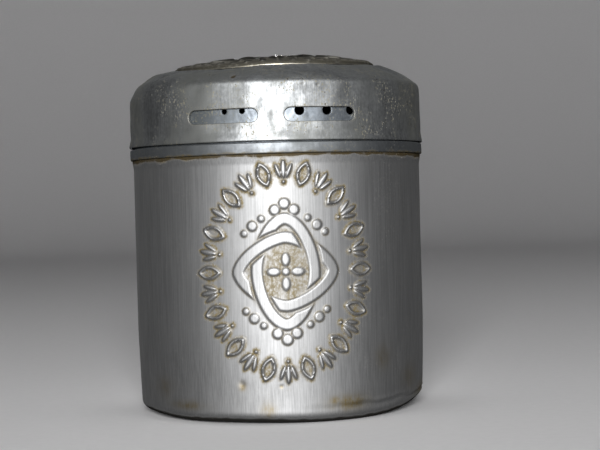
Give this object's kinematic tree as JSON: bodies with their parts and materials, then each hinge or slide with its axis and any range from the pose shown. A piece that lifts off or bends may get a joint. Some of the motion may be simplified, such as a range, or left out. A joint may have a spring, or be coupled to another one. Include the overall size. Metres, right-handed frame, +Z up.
{
  "type": "powder shaker tin",
  "caption": "Round aluminium powder tin with a lift-off sifting head, a slotted cap that turns to open fine or coarse holes, and a domed embossed top",
  "frame": {"origin": "centre of the plane that the can stands on, on the tin's axis", "axes": "+Z up along the tin's axis, -Y towards the front with the embossed oval, +X to the right seen from the front"},
  "size_m": [0.0616, 0.0616, 0.0737],
  "materials": {
    "can_metal": "worn satin, fine upright brush lines, grime in the embossing",
    "neck_metal": "clean dull, protected by the cap",
    "band_metal": "worn satin, grime along the lower edge",
    "cap_metal": "tarnished, spotted and scuffed, polished on its edges",
    "medallion_metal": "embossed relief, polished crests and dark hollows",
    "rivet_metal": "plain",
    "washer_metal": "plain"
  },
  "bodies": {
    "can": {"can_body": "can_metal"},
    "head": {"sifter_neck": "neck_metal", "stop_band": "band_metal", "spring_washer": "washer_metal"},
    "cap": {"cap_shell": "cap_metal", "top_medallion": "medallion_metal", "pivot_rivet": "rivet_metal", "clinch_washer": "rivet_metal"}
  },
  "joints": [
    {"name": "head_lift", "type": "slide", "parent": "can", "child": "head", "axis": [0, 0, 1], "range_m": [0, 0.014]},
    {"name": "cap_turn", "type": "hinge", "parent": "head", "child": "cap", "pos_m": [0, 0, 0.0699], "axis": [0, 0, 1], "continuous": true}
  ]
}
